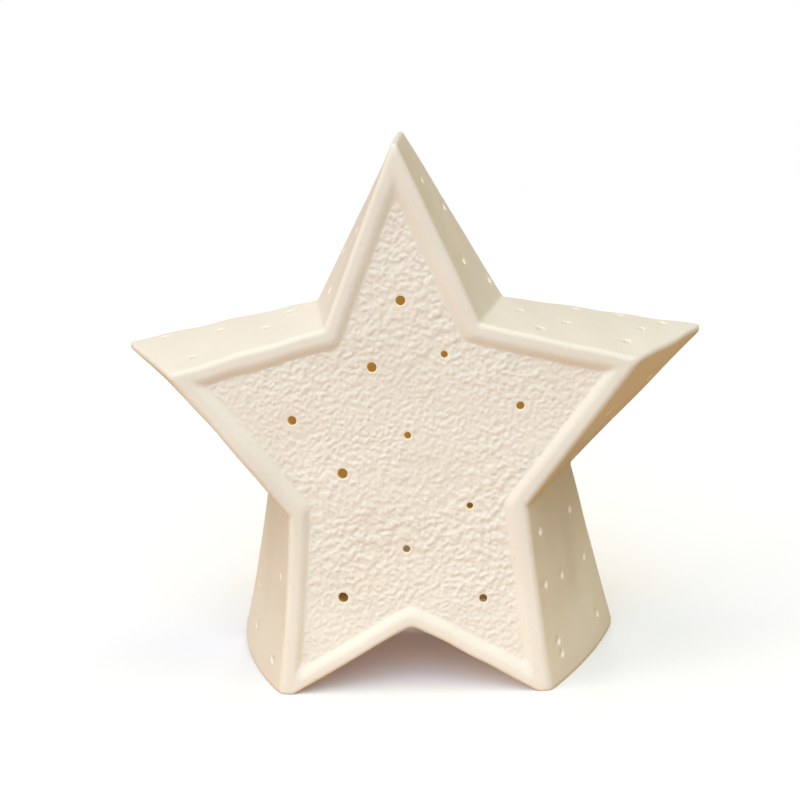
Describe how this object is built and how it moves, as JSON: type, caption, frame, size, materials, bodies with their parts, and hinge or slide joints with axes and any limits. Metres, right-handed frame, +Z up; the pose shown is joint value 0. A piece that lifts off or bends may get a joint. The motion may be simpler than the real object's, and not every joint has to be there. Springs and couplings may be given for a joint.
{
  "type": "tealight holder",
  "caption": "Free-standing hollow star lantern in unglazed porcelain, pierced for light, with an arched doorway at the back and a tealight on an inner shelf.",
  "frame": {"origin": "on the table, under the middle of the star's width and depth", "axes": "+X across the star to the viewer's right, -Y out of the decorated front, +Y out of the doorway at the back, +Z up"},
  "size_m": [0.1848, 0.0598, 0.1684],
  "materials": {
    "bisque_porcelain": "unglazed, satin",
    "cup_aluminium": "bright rolled foil",
    "wax": "paraffin wax, soft gloss",
    "tinned_steel": "tinned",
    "wick_cotton": "waxed cotton"
  },
  "bodies": {
    "holder": {"star_shell": "bisque_porcelain", "back_panel": "bisque_porcelain", "tealight_shelf": "bisque_porcelain"},
    "tealight": {"tealight_cup": "cup_aluminium"},
    "wax_insert": {"wax": "wax", "wick_tab": "tinned_steel", "wick": "wick_cotton"}
  },
  "joints": [
    {"name": "tealight_slide", "type": "slide", "parent": "holder", "child": "tealight", "axis": [0, 1, 0], "range_m": [0, 0.055]},
    {"name": "wax_lift", "type": "slide", "parent": "tealight", "child": "wax_insert", "axis": [0, 0, 1], "range_m": [0, 0.018]}
  ]
}
